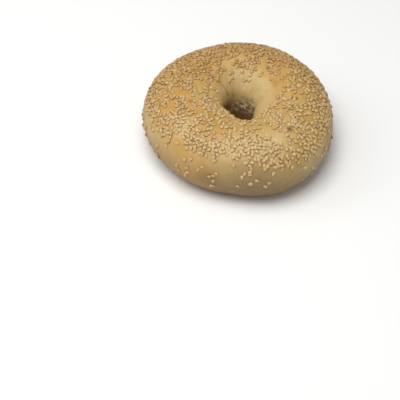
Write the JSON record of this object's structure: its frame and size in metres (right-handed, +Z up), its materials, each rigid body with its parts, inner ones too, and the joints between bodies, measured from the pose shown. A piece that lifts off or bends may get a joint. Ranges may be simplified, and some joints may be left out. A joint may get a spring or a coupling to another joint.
{
  "type": "sesame bagel",
  "caption": "Ring-shaped baked bread roll with a round hole, a flat underside and sesame seeds fused to its top crust.",
  "frame": {"origin": "under the middle of the ring, on the surface that the flat underside rests on", "axes": "+Z up through the hole, +X to the right and +Y to the back as the bagel lies in the source view"},
  "size_m": [0.1149, 0.1122, 0.0417],
  "materials": {
    "crust": "satin baked crust, golden on the crest and paler on the flank",
    "sesame": "satin toasted seed"
  },
  "bodies": {
    "root": {"bagel": "crust"}
  },
  "joints": []
}
